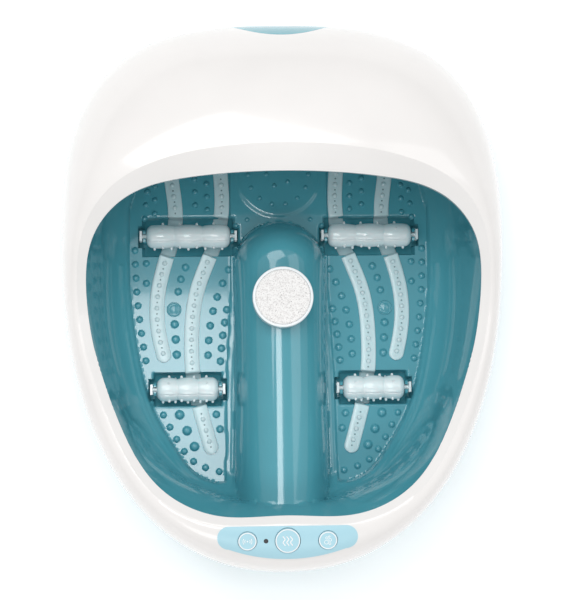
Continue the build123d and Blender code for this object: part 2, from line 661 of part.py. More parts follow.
def build_air_path():
    """Hose from the blower to a flat manifold that feeds the four strips."""
    floor = FOOTBED_Z - BASIN_WALL - 0.2
    box = block(-97, 97, 84, 108, floor - 9, floor)
    box = box - block(-95, 95, 86, 106, floor - 7, floor - 2)
    spout = rod_y(4.5, -19.5, floor - 16, 70, 92) + post(4.5, -19.5, 92 - 4.5, floor - 16, floor - 8)
    hose_line = Wire([Edge.make_line((-19.5, -49.8, 18), (-19.5, 5, 18)),
                      Edge.make_spline([Vector(-19.5, 5, 18), Vector(-19.5, 38, floor - 16)],
                                       tangents=[Vector(0, 1, 0), Vector(0, 1, 0)]),
                      Edge.make_line((-19.5, 38, floor - 16), (-19.5, 69.8, floor - 16))])
    ring = Plane(origin=(-19.5, -49.8, 18), x_dir=(1, 0, 0), z_dir=(0, 1, 0)) * Circle(4.5)
    hose = sweep(ring, path=hose_line)
    return {"air_manifold": single(box + spout), "air_hose": hose.solid()}


def build_electrics():
    floor = FOOTBED_Z - BASIN_WALL - 0.2
    heaters, elements = [], []
    for side in (-1, 1):
        heaters.append(block(side * 84 - 26, side * 84 + 26, -44, 22, floor - 2, floor))
        for k in range(5):
            elements.append(rod_y(1.4, side * 84 - 20 + 10 * k, floor - 3.6, -40, 18))
    thermostat = post(7.5, 49.5, -10, floor - 8, floor)
    fuse = rod_x(2.2, -52, floor - 2.4, -96, -72)
    board = block(-48, 48, 112, 158, PLATE_TOP + 8, PLATE_TOP + 9.6)
    stands = [(x, y) for x in (-42, 42) for y in (117, 153)]
    screws = [post(1.5, x, y, PLATE_TOP, PLATE_TOP + 10.4) + post(3.0, x, y, PLATE_TOP + 9.6, PLATE_TOP + 11.4)
              for x, y in stands]
    pillars = [post(3.5, x, y, PLATE_TOP, PLATE_TOP + 8) - post(1.5, x, y, 0, 30) for x, y in stands]
    board_pierced = board
    for x, y in stands:
        board_pierced = board_pierced - post(1.5, x, y, 0, 40)
    top = PLATE_TOP + 9.6
    core = block(-34, 2, 121, 149, top, top + 24) - block(-26, -20, 120, 150, top + 4, top + 20)
    core = core - block(-12, -6, 120, 150, top + 4, top + 20)
    coil = block(-25.9, -6.1, 116, 154, top + 4.1, top + 19.9) - block(-20, -12, 121, 149, top, top + 24)
    return {
        "heater_plates": group(heaters), "heating_elements": group(elements),
        "thermostat": thermostat, "thermal_fuse": fuse,
        "main_board": single(board_pierced), "board_pillars": group(pillars),
        "board_screws": group(screws), "transformer_core": single(core),
        "transformer_coil": coil, "relay": block(12, 30, 138, 152, top, top + 15),
        "capacitor": post(6, 18, 126, top, top + 20),
    }


def main():
    nodes = {}
    nodes.update(build_cover_set())
    nodes.update(build_controls())
    nodes.update(build_basin())
    for row, name, side in ROLLERS:
        nodes.update(build_roller(row, name, side))
    nodes.update(build_strips())
    nodes.update(build_pumice())
    nodes.update(build_body())
    nodes.update(build_blower())
    nodes.update(build_vibration())
    nodes.update(build_air_path())
    nodes.update(build_electrics())
    nodes.update(build_leads())
    os.makedirs("parts", exist_ok=True)
    for name, shape in nodes.items():
        export_step(shape, f"parts/{name}.step")
    print(len(nodes), "nodes")


main()
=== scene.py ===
import json
import math

import bmesh
import bpy
import numpy as np
from mathutils import Matrix, Vector


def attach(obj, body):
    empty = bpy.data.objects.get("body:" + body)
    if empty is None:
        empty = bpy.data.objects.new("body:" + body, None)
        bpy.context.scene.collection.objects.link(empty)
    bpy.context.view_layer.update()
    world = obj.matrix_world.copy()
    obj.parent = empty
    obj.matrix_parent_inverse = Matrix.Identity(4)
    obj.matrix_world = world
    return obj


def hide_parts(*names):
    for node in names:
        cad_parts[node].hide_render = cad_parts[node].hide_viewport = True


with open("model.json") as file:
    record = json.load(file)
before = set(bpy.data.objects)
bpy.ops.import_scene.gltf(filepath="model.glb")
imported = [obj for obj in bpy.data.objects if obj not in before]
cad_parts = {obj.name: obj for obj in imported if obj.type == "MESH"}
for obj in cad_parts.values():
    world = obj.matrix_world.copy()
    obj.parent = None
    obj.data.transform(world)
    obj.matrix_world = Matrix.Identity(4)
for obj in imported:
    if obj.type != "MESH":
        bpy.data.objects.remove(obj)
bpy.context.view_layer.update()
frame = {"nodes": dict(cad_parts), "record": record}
NODES = frame["nodes"]
ROOT = "spa_body"
MM = 0.001

# ---- driving dimensions, in millimetres, as in the CAD model ----------------------------
FLOOR_Z = 52.0               # basin floor around the footbeds
FOOTBED_Z = 50.0             # recessed floor that the soles rest on
RIM_Z = 132.0                # top face of the basin's rim flange
SEAM_Z = 92.0                # top cover meets lower body
POCKET_Z = 39.0              # lowest line of the roller pockets
WALL = 2.8                   # of the top cover
RIDGE_HALF = 39.0
RIDGE_TOP = 102.0
RIDGE_REAR_Y = 27.0          # centre of the ridge's rounded rear end
ROLLER_X = {"toe": 76.0, "heel": 77.5}
ROLLER_Y = {"toe": 54.0, "heel": -74.0}
ROLLER_HALF = {"toe": 35.0, "heel": 25.5}
POCKET_HALF_Y = {"toe": 16.0, "heel": 13.6}
ROLLER_Z = 54.0
ROLLER_R = 10.0
SIDES = {"left": -1, "right": 1}
PANEL_TILT = 14.0            # lean of the panel's normal towards the front, degrees
BUTTON_Y = -196.5
BUTTON_Z = 142.6             # where a button's axis meets the panel
BUTTON_TOP = 0.9             # button face above the panel
BUTTON_GAP = 0.35
BUTTONS = {"massage": (-31.5, 7.4), "heat": (0.0, 9.9), "bubble": (31.5, 7.4)}   # x and radius


# ---- mesh helpers ---------------------------------------------------------------------
def mesh_object(name, points, faces, smooth=True):
    """An object from points in millimetres and faces of point numbers."""
    mesh = bpy.data.meshes.new(name)
    mesh.from_pydata([tuple(p) for p in np.asarray(points, float) * MM], [], faces)
    mesh.validate()
    obj = bpy.data.objects.new(name, mesh)
    bpy.context.scene.collection.objects.link(obj)
    if smooth:
        mesh.shade_smooth()
    return obj


def grid_faces(rows, columns, wrap_rows=False, wrap_columns=False, flip=False):
    """Quads over a grid of points stored row by row."""
    faces = []
    for i in range(rows if wrap_rows else rows - 1):
        for j in range(columns if wrap_columns else columns - 1):
            a, b = i * columns + j, i * columns + (j + 1) % columns
            c = ((i + 1) % rows) * columns + (j + 1) % columns
            d = ((i + 1) % rows) * columns + j
            faces.append((a, d, c, b) if flip else (a, b, c, d))
    return faces


def row_caps(rows, columns, flip=False):
    """Two end faces, over the first and the last row of a grid."""
    first = tuple(range(columns))
    last = tuple((rows - 1) * columns + k for k in range(columns))
    return [first, last[::-1]] if flip else [first[::-1], last]


def column_caps(rows, columns):
    """Two end faces, over the first and the last column of a grid."""
    return [tuple(i * columns + j for i in range(rows)) for j in (0, columns - 1)]


def prism(name, ring, low, high):
    """Upright prism over a ring of (x, y) points."""
    points = [(x, y, z) for z in (low, high) for x, y in ring]
    faces = grid_faces(2, len(ring), wrap_columns=True) + row_caps(2, len(ring))
    return mesh_object(name, points, faces, smooth=False)


def repeat(name, profile, places, steps=16):
    """One mesh of the same turned shape at many places: (x, y, z, scale) or a 4x4 matrix in mm."""
    rows = len(profile)
    ring = np.linspace(0, 2 * math.pi, steps, endpoint=False)
    base = np.array([(r * math.cos(a), r * math.sin(a), z) for r, z in profile for a in ring])
    faces = grid_faces(rows, steps, wrap_columns=True) + row_caps(rows, steps)
    points, polygons = [], []
    for count, place in enumerate(places):
        if isinstance(place, Matrix):
            moved = np.array([place @ Vector(p) for p in base])
        else:
            moved = base * place[3] + np.array(place[:3])
        points.append(moved)
        polygons += [tuple(i + count * len(base) for i in face) for face in faces]
    return mesh_object(name, np.vstack(points), polygons)


def finish_piece(obj, material, slot, *nodes, body=ROOT):
    """Paints a piece, lets it ride on its body and hides the CAD nodes that it stands for."""
    obj.data.materials.clear()
    obj.data.materials.append(material)
    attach(obj, body)
    if nodes:
        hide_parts(*nodes)
    return obj


def evaluated_mesh(obj):
    """The object's mesh after its modifiers, or a curve's as a mesh."""
    return bpy.data.meshes.new_from_object(obj.evaluated_get(bpy.context.evaluated_depsgraph_get()))


def cut(obj, tools, operation="DIFFERENCE"):
    """Exact boolean of obj with each tool; the tools are used up."""
    for tool in tools:
        modifier = obj.modifiers.new("cut", "BOOLEAN")
        modifier.operation = operation
        modifier.solver = "EXACT"
        modifier.object = tool
        bpy.context.view_layer.update()
        mesh = evaluated_mesh(obj)
        obj.modifiers.clear()
        obj.data = mesh
        bpy.data.objects.remove(tool)
    return obj


def soften(obj, angle):
    """Smooth shading that keeps edges sharper than the angle in degrees."""
    obj.data.shade_smooth()
    obj.data.set_sharp_from_angle(angle=math.radians(angle))
    return obj


def fix_normals(obj):
    """Makes every face look outwards."""
    mesh = bmesh.new()
    mesh.from_mesh(obj.data)
    bmesh.ops.recalc_face_normals(mesh, faces=mesh.faces)
    mesh.to_mesh(obj.data)
    mesh.free()
    return obj


def move_mesh(obj, matrix):
    """Moves the mesh itself, in metres; the object stays at the origin."""
    obj.data.transform(matrix)
    return obj


def panel_place(x):
    """Where a button's axis meets the control panel, turned to the panel's normal, in metres."""
    return (Matrix.Translation(Vector((x, BUTTON_Y, BUTTON_Z)) * MM)
            @ Matrix.Rotation(math.radians(PANEL_TILT), 4, "X"))


# ---- curves ---------------------------------------------------------------------------
def spline_at(t, rows, at):
    """Natural cubic spline of table rows over t, read at one value or at many."""
    h = np.diff(t)
    system = np.eye(len(t))
    right = np.zeros(rows.shape)
    for i in range(1, len(t) - 1):
        system[i, i - 1:i + 2] = h[i - 1], 2 * (h[i - 1] + h[i]), h[i]
        right[i] = 6 * ((rows[i + 1] - rows[i]) / h[i] - (rows[i] - rows[i - 1]) / h[i - 1])
    bend = np.linalg.solve(system, right)
    k = np.clip(np.searchsorted(t, at) - 1, 0, len(t) - 2)
    a = ((t[k + 1] - at) / h[k])[..., None]
    b = 1 - a
    step = (h[k] ** 2 / 6)[..., None]
    return a * rows[k] + b * rows[k + 1] + step * ((a ** 3 - a) * bend[k] + (b ** 3 - b) * bend[k + 1])


def run_along(points):
    """Distance along a line from its first point to each of its points."""
    return np.concatenate([[0], np.cumsum(np.linalg.norm(np.diff(points, axis=0), axis=1))])


def smooth_line(points, count):
    """Points along a natural cubic spline through the given points."""
    points = np.asarray(points, float)
    run = run_along(points)
    return spline_at(run, points, np.linspace(0, run[-1], count))


def blend(value, start, end):
    """0 at the start, 1 at the end, with a smooth rise between."""
    t = np.clip((value - start) / (end - start), 0, 1)
    return t * t * (3 - 2 * t)


def smooth_max(a, b, reach):
    """Maximum of two heights with a rounded inside corner."""
    h = np.clip(0.5 + 0.5 * (a - b) / reach, 0, 1)
    return b + (a - b) * h + reach * h * (1 - h)


def circle_line(u, v, radius, start=0.0, end=360.0, count=40):
    """Points of an arc between two turns in degrees; a full circle doesn't repeat its first point."""
    turns = np.radians(np.linspace(start, end, count, endpoint=end - start < 360))
    return [(u + radius * math.cos(t), v + radius * math.sin(t)) for t in turns]


class Egg:
    """Two half superellipses that share their widest station."""

    def __init__(self, half_width, front_y, rear_y, widest_y, front_power, rear_power):
        self.numbers = np.array([half_width, front_y, rear_y, widest_y, front_power, rear_power], float)

    def grown(self, by):
        half, front, rear, widest, front_power, rear_power = self.numbers
        return Egg(half + by, front - by, rear + by, widest, front_power, rear_power)

    def points(self, turns):
        """Points at turns in radians: -90 degrees is the front and 90 the rear."""
        half, front, rear, widest, front_power, rear_power = self.numbers
        behind = np.sin(turns) >= 0
        power = np.where(behind, rear_power, front_power)
        reach = np.where(behind, rear, front) - widest
        x = half * np.abs(np.cos(turns)) ** (2 / power) * np.sign(np.cos(turns))
        y = widest + reach * np.abs(np.sin(turns)) ** (2 / power)
        return np.stack([x, y], axis=-1)

    def level(self, x, y):
        """Below 1 inside the outline, above 1 outside."""
        half, front, rear, widest, front_power, rear_power = self.numbers
        power = np.where(y > widest, rear_power, front_power)
        reach = np.where(y > widest, rear - widest, widest - front)
        return (np.abs(x) / half) ** power + (np.abs(y - widest) / reach) ** power


OUTLINE = Egg(178.0, -223.0, 223.0, 40.0, 2.22, 2.9)         # the top cover's edge
FLOOR = Egg(124.0, -150.0, 176.0, 30.0, 2.4, 2.6)
RIM = Egg(163.0, -181.0, 205.0, 35.0, 2.7, 2.9)
RIM_FLANGE = Egg(171.0, -187.5, 211.0, 35.0, 2.5, 2.8)       # hidden below the cover
BASIN_EGGS = [FLOOR, FLOOR.grown(9.0), Egg(151.0, -168.0, 193.0, 33.0, 2.5, 2.75), RIM]
BASIN_HEIGHTS = np.array([FLOOR_Z, 59.0, 92.0, RIM_Z])


def basin_egg(z):
    """The basin wall's outline at a height; above the rim it leans out by a fixed slope."""
    if z > RIM_Z:
        return RIM.grown((z - RIM_Z) * 0.28)
    return Egg(*spline_at(BASIN_HEIGHTS, np.array([egg.numbers for egg in BASIN_EGGS]), z))


# ---- materials ------------------------------------------------------------------------
def new_material(name):
    """A material, its node tree, its shader and its object coordinates."""
    material = bpy.data.materials.new(name)
    material.use_nodes = True
    tree = material.node_tree
    place = add(tree, "ShaderNodeTexCoord")
    return material, tree, tree.nodes["Principled BSDF"], place.outputs["Object"]


def add(tree, kind, **settings):
    """A node with its settings, each an attribute or an input."""
    node = tree.nodes.new(kind)
    for key, value in settings.items():
        if hasattr(node, key) and key not in node.inputs:
            setattr(node, key, value)
        else:
            node.inputs[key].default_value = value
    return node


def noise(tree, place, scale, detail):
    """Cloudy value between 0 and 1."""
    node = add(tree, "ShaderNodeTexNoise", Scale=scale, Detail=detail)
    tree.links.new(place, node.inputs["Vector"])
    return node.outputs["Fac"]


def ramp(tree, value, *stops):
    """Colour ramp over two (position, colour) stops."""
    node = add(tree, "ShaderNodeValToRGB")
    for element, (position, colour) in zip(node.color_ramp.elements, stops):
        element.position = position
        element.color = (*colour, 1)
    tree.links.new(value, node.inputs["Fac"])
    return node.outputs["Color"]


def vary_gloss(tree, shader, value, low, high):
    """Roughness between two limits, following a noise."""
    node = add(tree, "ShaderNodeMapRange")
    node.inputs["To Min"].default_value = low
    node.inputs["To Max"].default_value = high
    tree.links.new(value, node.inputs["Value"])
    tree.links.new(node.outputs["Result"], shader.inputs["Roughness"])


def roughen(tree, shader, value, strength, distance):
    """Surface bumps that follow a noise."""
    bump = add(tree, "ShaderNodeBump", Strength=strength, Distance=distance)
    tree.links.new(value, bump.inputs["Height"])
    tree.links.new(bump.outputs["Normal"], shader.inputs["Normal"])


def moulded(name, colour, rough=0.12, grain=0.0, tint=0.02, coat=0.0, deep=0.0):
    """Moulded plastic: faint mottling of colour and gloss, and with grain a fine surface ripple."""
    material, tree, shader, place = new_material(name)
    cloud = noise(tree, place, 14.0, 3.0)
    darker = [c * (1 - tint) for c in colour]
    lighter = [min(1.0, c * (1 + tint)) for c in colour]
    tree.links.new(ramp(tree, cloud, (0.3, darker), (0.7, lighter)), shader.inputs["Base Color"])
    vary_gloss(tree, shader, cloud, max(0.02, rough * 0.8), rough * 1.25)
    shader.inputs["IOR"].default_value = 1.5
    shader.inputs["Coat Weight"].default_value = coat
    shader.inputs["Coat Roughness"].default_value = 0.04
    shader.inputs["Subsurface Weight"].default_value = deep
    shader.inputs["Subsurface Radius"].default_value = (0.004, 0.006, 0.006)
    shader.inputs["Subsurface Scale"].default_value = 1.0
    if grain:
        roughen(tree, shader, noise(tree, place, 900.0, 2.0), grain, 0.0002)
    return material


def metal(name, colour, rough=0.3, brushed=True):
    """Metal with fine brushed lines, or cloudy gloss on a casting."""
    material, tree, shader, place = new_material(name)
    stretch = add(tree, "ShaderNodeMapping")
    stretch.inputs["Scale"].default_value = (40, 40, 900) if brushed else (120, 120, 120)
    tree.links.new(place, stretch.inputs["Vector"])
    lines = noise(tree, stretch.outputs["Vector"], 1.0, 4.0)
    vary_gloss(tree, shader, lines, rough * 0.7, rough * 1.3)
    shader.inputs["Base Color"].default_value = (*colour, 1)
    shader.inputs["Metallic"].default_value = 1.0
    return material


def pumice_material():
    """Pale stone, its colour speckled with dark spots of two sizes: painted shade for the stone's cavities.
    """
    material, tree, shader, place = new_material("pumice")
    body = noise(tree, place, 900.0, 4.0)
    colour = ramp(tree, body, (0.30, (0.70, 0.68, 0.67)), (0.55, (0.93, 0.92, 0.91)))
    # painted shade: dark spots in the colour stand in for the shaded cavities, which the stone's mesh doesn't
    # have
    for scale, size, dark in ((330.0, 0.13, 0.20), (760.0, 0.24, 0.42)):
        cells = add(tree, "ShaderNodeTexVoronoi", Scale=scale, Randomness=1.0)
        tree.links.new(place, cells.inputs["Vector"])
        pore_shade = ramp(tree, cells.outputs["Distance"], (size * 0.6, (1, 1, 1)), (size, (0, 0, 0)))
        mix = add(tree, "ShaderNodeMix", data_type="RGBA")
        mix.inputs[7].default_value = (dark, dark * 0.97, dark * 0.94, 1)
        tree.links.new(pore_shade, mix.inputs[0])
        tree.links.new(colour, mix.inputs[6])
        colour = mix.outputs[2]
    tree.links.new(colour, shader.inputs["Base Color"])
    shader.inputs["Roughness"].default_value = 0.9
    roughen(tree, shader, body, 0.5, 0.0006)
    return material


MATERIALS = {
    "cover_white": moulded("cover_white", (0.865, 0.845, 0.83), rough=0.16, coat=0.3),
    "basin_teal": moulded("basin_teal", (0.082, 0.345, 0.42), rough=0.1, tint=0.04, coat=0.5),
    "body_teal": moulded("body_teal", (0.10, 0.38, 0.46), rough=0.16, coat=0.3),
    "base_grey": moulded("base_grey", (0.62, 0.64, 0.65), rough=0.5, grain=0.4),
    "panel_blue": moulded("panel_blue", (0.42, 0.69, 0.79), rough=0.35),
    "icon_white": moulded("icon_white", (0.95, 0.97, 0.98), rough=0.4),
    # dark teal discs on the strips: painted shade where the strip is pierced, not real openings
    "pinhole_shade": moulded("pinhole_shade", (0.20, 0.33, 0.36), rough=0.5),
    "lens_dark": moulded("lens_dark", (0.012, 0.013, 0.016), rough=0.35),
    # strips and rollers are white translucent plastic; the blue tint of these two colours is painted teal
    # light bounced from the basin
    "clear_blue": moulded("clear_blue", (0.60, 0.80, 0.84), rough=0.18, deep=0.3),
    "roller_white": moulded("roller_white", (0.82, 0.93, 0.95), rough=0.14, deep=0.3, coat=0.4),
    "holder_white": moulded("holder_white", (0.86, 0.90, 0.92), rough=0.2),
    "rubber_grey": moulded("rubber_grey", (0.10, 0.105, 0.11), rough=0.65, grain=0.6),
    "inner_plastic": moulded("inner_plastic", (0.12, 0.13, 0.14), rough=0.45, grain=0.3),
    "hose_clear": moulded("hose_clear", (0.60, 0.64, 0.65), rough=0.3),
    "board_green": moulded("board_green", (0.03, 0.16, 0.07), rough=0.35),
    "thermal_black": moulded("thermal_black", (0.02, 0.02, 0.022), rough=0.4),
    "led_clear": moulded("led_clear", (0.7, 0.15, 0.10), rough=0.1),
    "steel": metal("steel", (0.60, 0.61, 0.63)),
    "heater_aluminium": metal("heater_aluminium", (0.78, 0.79, 0.80), rough=0.35),
    "copper": metal("copper", (0.72, 0.36, 0.20), rough=0.35),
    "weight_iron": metal("weight_iron", (0.25, 0.25, 0.26), rough=0.55, brushed=False),
    "pumice": pumice_material(),
}


def paint_cad_nodes():
    """Gives every CAD node the material of its slot."""
    for part in frame["record"]["subparts"]:
        obj = NODES[part["node"]]
        obj.data.materials.clear()
        obj.data.materials.append(MATERIALS[part["material_slot"]])


# ---- camera, light and floor ----------------------------------------------------------
VIEW_TILT_X = math.radians(2.6)      # the camera stands almost straight above,
VIEW_TILT_Y = math.radians(5.0)      # a little to the left and to the front
VIEW_ROLL = math.radians(-0.75)
VIEW_TARGET = Vector((1.0, -5.0, 110.0)) * MM
VIEW_DISTANCE = 1.5
LENS = 111.5
WORLD_LIGHT = 0.56
FLOOR_HALF = 6000.0
FLOOR_GLOW = 0.30
LIGHTS = {                           # place, target, size, power
    "key": ((-0.45, 0.75, 2.0), (0, 0, 0.1), (1.3, 1.1), 14),
    "fill": ((0.9, 0.3, 1.6), (0, 0, 0.1), (0.9, 0.9), 3),
    "front": ((-0.1, -1.1, 1.5), (0, 0.1, 0.1), (0.9, 0.5), 4),
    "floor_glare": ((-0.15, -0.03, 1.95), (-0.15, -0.03, 0), (0.36, 0.42), 3.0),
}


def make_camera():
    camera_data = bpy.data.cameras.new("camera")
    camera_data.lens = LENS
    camera = bpy.data.objects.new("camera", camera_data)
    bpy.context.scene.collection.objects.link(camera)
    x, y = -math.sin(VIEW_TILT_X), -math.sin(VIEW_TILT_Y)
    back = Vector((x, y, math.sqrt(1 - x * x - y * y)))
    right = Vector((0, 1, 0)).cross(back).normalized()
    up = back.cross(right)
    cosine, sine = math.cos(VIEW_ROLL), math.sin(VIEW_ROLL)
    right, up = cosine * right + sine * up, cosine * up - sine * right
    turn = Matrix((right, up, back)).transposed()
    camera.matrix_world = Matrix.Translation(VIEW_TARGET + back * VIEW_DISTANCE) @ turn.to_4x4()
    bpy.context.scene.camera = camera


def area_light(name, place, target, size, power):
    """A soft rectangular light, in metres and watts, that faces its target."""
    data = bpy.data.lights.new(name, "AREA")
    data.shape = "RECTANGLE"
    data.size, data.size_y = size
    data.energy = power
    light = bpy.data.objects.new(name, data)
    bpy.context.scene.collection.objects.link(light)
    light.location = place
    light.rotation_mode = "QUATERNION"
    light.rotation_quaternion = (Vector(place) - Vector(target)).to_track_quat("Z", "Y")


def make_light():
    world = bpy.data.worlds.new("world")
    bpy.context.scene.world = world
    world.use_nodes = True
    world.node_tree.nodes["Background"].inputs["Color"].default_value = (1, 1, 1, 1)
    world.node_tree.nodes["Background"].inputs["Strength"].default_value = WORLD_LIGHT
    for name, settings in LIGHTS.items():
        area_light(name, *settings)
    bpy.context.scene.view_settings.view_transform = "Standard"


def make_floor():
    corners = [(-1, -1, 0), (1, -1, 0), (1, 1, 0), (-1, 1, 0)]
    floor = mesh_object("floor", np.array(corners) * FLOOR_HALF, [(0, 1, 2, 3)], smooth=False)
    paper = moulded("floor_white", (0.93, 0.93, 0.93), rough=0.8)
    shader = paper.node_tree.nodes["Principled BSDF"]
    shader.inputs["Emission Color"].default_value = (1, 1, 1, 1)
    shader.inputs["Emission Strength"].default_value = FLOOR_GLOW
    floor.data.materials.append(paper)


# ---- basin ----------------------------------------------------------------------------
FOOT_OUTER = [(126, 80), (126, 8), (119, -48), (106, -94), (89, -124), (69, -147), (54, -153)]
FOOT_INNER = [(46, -152), (45, -116), (44, -63), (40, 7), (40, 150)]
FOOT_STEP = 1.6              # width of the slope at the footbed's edge
FOOT_BEAD = 0.7              # moulded line round each footbed, this high,
FOOT_BEAD_OUT = 4.5          # this far outside the footbed's edge
FOOT_BEAD_WIDTH = 0.9
FOOT_BEAD_REAR_Y = 30        # and no further back than here
FLOOR_ROUND = 2.5            # radius of the corner of floor and wall
RIDGE_ROUND = 2.0
RIDGE_BASE = 47.0            # where the ridge's section starts, below the floor
RIDGE_SHOULDER = 0.85        # powers of the section: how square its sides
RIDGE_CROWN = 0.9            # and how round its top
REAR_PAD_Y = 106.0
REAR_PAD_R = 36.0
REAR_PAD_RISE = 0.9
REAR_PAD_STEP = 1.2
POCKET_DISH = 5.0            # rise of a pocket's floor towards its front and rear
POCKET_END_GAP = 2.8         # from the roller's end to the pocket's
EAR_NICHE = 6.6              # the same in the narrow part that holds the ears
EAR_NICHE_HALF_Y = 8.4
WALL_TOP = 150.0             # the field goes above the rim, which cuts it level
WALL_LEVELS = 66
TUB_WALL = 2.4               # height from the hollow below to the field
TUB_SIDE = 2.2               # the same sideways, on the steep walls
RIM_THICK = 2.8
FINE = 1.1                   # pitch of the field over the footbeds


def foot_outline():
    """Edge of the right footbed as a closed loop."""
    return np.vstack([[(104, 150)], smooth_line(FOOT_OUTER, 90), FOOT_INNER])


def distance_inside(x, y, loop):
    """Signed distance to a closed loop of points: positive inside."""
    inside = np.zeros(x.shape, bool)
    nearest = np.full(x.shape, 1e9)
    for (ax, ay), (bx, by) in zip(loop, np.roll(loop, -1, axis=0)):
        crosses = (ay > y) != (by > y)
        if ay != by:
            inside ^= crosses & (x < (bx - ax) * (y - ay) / (by - ay) + ax)
        run = (bx - ax) ** 2 + (by - ay) ** 2
        t = np.clip(((x - ax) * (bx - ax) + (y - ay) * (by - ay)) / max(run, 1e-9), 0, 1)
        nearest = np.minimum(nearest, np.hypot(x - ax - t * (bx - ax), y - ay - t * (by - ay)))
    return np.where(inside, nearest, -nearest)


def wall_height(x, y):
    """Height of the sloping wall above each point; the floor's height inside the floor outline."""
    heights = np.linspace(FLOOR_Z, WALL_TOP, WALL_LEVELS)
    result = np.full(x.shape, WALL_TOP)
    done = np.zeros(x.shape, bool)
    before = None
    for z in heights:
        level = basin_egg(z).level(x, y) - 1
        inside = (level <= 0) & ~done
        if before is None:
            result[inside] = FLOOR_Z
        else:
            part = before[inside] / (before[inside] - level[inside])
            result[inside] = z - (heights[1] - heights[0]) * (1 - part)
        done |= inside
        before = level
    return result


def ridge_height(x, y):
    """Height of the long ridge between the feet; well below the floor beside it."""
    across = np.where(y > RIDGE_REAR_Y, np.hypot(x, y - RIDGE_REAR_Y), np.abs(x))
    out = np.clip(across / RIDGE_HALF, 0, 1) ** (1 / RIDGE_SHOULDER)
    rise = np.sqrt(np.clip(1 - out ** 2, 0, 1)) ** RIDGE_CROWN
    return np.where(across < RIDGE_HALF, RIDGE_BASE + (RIDGE_TOP - RIDGE_BASE) * rise, RIDGE_BASE - 20)


def pocket_mask(x, y, row, side, edge=1.0):
    """1 inside a roller's pocket, 0 outside, with a slope as wide as the edge between."""
    cx, cy, half = side * ROLLER_X[row], ROLLER_Y[row], ROLLER_HALF[row]

    def inside(half_x, half_y):
        dx = half_x - np.abs(x - cx)
        dy = half_y - np.abs(y - cy)
        return blend(np.minimum(dx, dy), -edge / 2, edge / 2)

    return np.maximum(inside(half + POCKET_END_GAP, POCKET_HALF_Y[row]),
                      inside(half + EAR_NICHE, EAR_NICHE_HALF_Y))


def pocket_floor(y, row):
    """Height of a pocket's rounded floor, lowest under the roller's axle."""
    return POCKET_Z + POCKET_DISH * np.clip(np.abs(y - ROLLER_Y[row]) / POCKET_HALF_Y[row], 0, 1) ** 2


def basin_height(x, y):
    """Height of the basin's inside at each point: walls, footbeds, rear pad, ridge and pockets."""
    height = smooth_max(wall_height(x, y), np.full(x.shape, FLOOR_Z), FLOOR_ROUND)
    for side in SIDES.values():
        foot = distance_inside(x * side, y, foot_outline())
        inside = blend(foot, 0.0, FOOT_STEP)
        height = height * (1 - inside) + FOOTBED_Z * inside
        bead = np.exp(-((foot + FOOT_BEAD_OUT) / FOOT_BEAD_WIDTH) ** 2)
        height = height + FOOT_BEAD * bead * (y < FOOT_BEAD_REAR_Y)
    pad = blend(REAR_PAD_R - np.hypot(x, y - REAR_PAD_Y), 0.0, REAR_PAD_STEP)
    height = height + REAR_PAD_RISE * pad * (height < FLOOR_Z + 2)
    height = smooth_max(height, ridge_height(x, y), RIDGE_ROUND)
    for row in ROLLER_Y:
        for side in SIDES.values():
            mask = pocket_mask(x, y, row, side)
            height = height * (1 - mask) + pocket_floor(y, row) * mask
    return height


def axis_lines(breaks, pitches):
    """Grid lines with a pitch for each stretch between breaks."""
    lines = []
    for a, b, pitch in zip(breaks, breaks[1:], pitches):
        count = max(1, round((b - a) / pitch))
        lines += list(np.linspace(a, b, count, endpoint=False))
    return np.array(lines + [breaks[-1]])


def block_under(name, xs, ys, height, bottom):
    """Closed solid between a height field and a flat bottom."""
    nx, ny = len(xs), len(ys)
    gx, gy = np.meshgrid(xs, ys)
    top = np.stack([gx, gy, height], -1).reshape(-1, 3)
    low = top.copy()
    low[:, 2] = bottom
    faces = grid_faces(ny, nx)
    base = nx * ny
    border = ([j for j in range(nx)] + [i * nx + nx - 1 for i in range(1, ny)]
              + [(ny - 1) * nx + j for j in range(nx - 2, -1, -1)] + [i * nx for i in range(ny - 2, 0, -1)])
    ring = {index: base + k for k, index in enumerate(border)}
    for a, b in zip(border, border[1:] + border[:1]):
        faces.append((a, ring[a], ring[b], b))
    faces.append(tuple(base + k for k in range(len(border)))[::-1])
    return mesh_object(name, np.vstack([top, low[border]]), faces)


def build_basin():
    """Tub inside as a fine height field, cut to the rim's outline and hollowed from below."""
    xs = axis_lines([-176, -128, -38, 38, 128, 176], [1.7, FINE, 1.3, FINE, 1.7])
    ys = axis_lines([-192, -156, 112, 216], [1.6, FINE, 1.8])
    tub = block_under("basin_tub", xs, ys, basin_height(*np.meshgrid(xs, ys)), 20.0)
    turns = np.linspace(0, 2 * math.pi, 240, endpoint=False)
    cut(tub, [prism("rim_limit", RIM_FLANGE.points(turns), 25.0, RIM_Z)], "INTERSECT")
    xs = np.linspace(-176, 176, 120)
    ys = np.linspace(-192, 216, 136)
    gx, gy = np.meshgrid(xs, ys)
    shifts = [(-TUB_SIDE, 0), (TUB_SIDE, 0), (0, -TUB_SIDE), (0, TUB_SIDE)]
    below = np.min([basin_height(gx + dx, gy + dy) for dx, dy in shifts], axis=0)
    hollow = block_under("hollow", xs, ys, np.minimum(below - TUB_WALL, RIM_Z - RIM_THICK), 10.0)
    cut(tub, [hollow])
    soften(tub, 50)
    return finish_piece(tub, MATERIALS["basin_teal"], "basin_teal", "basin")


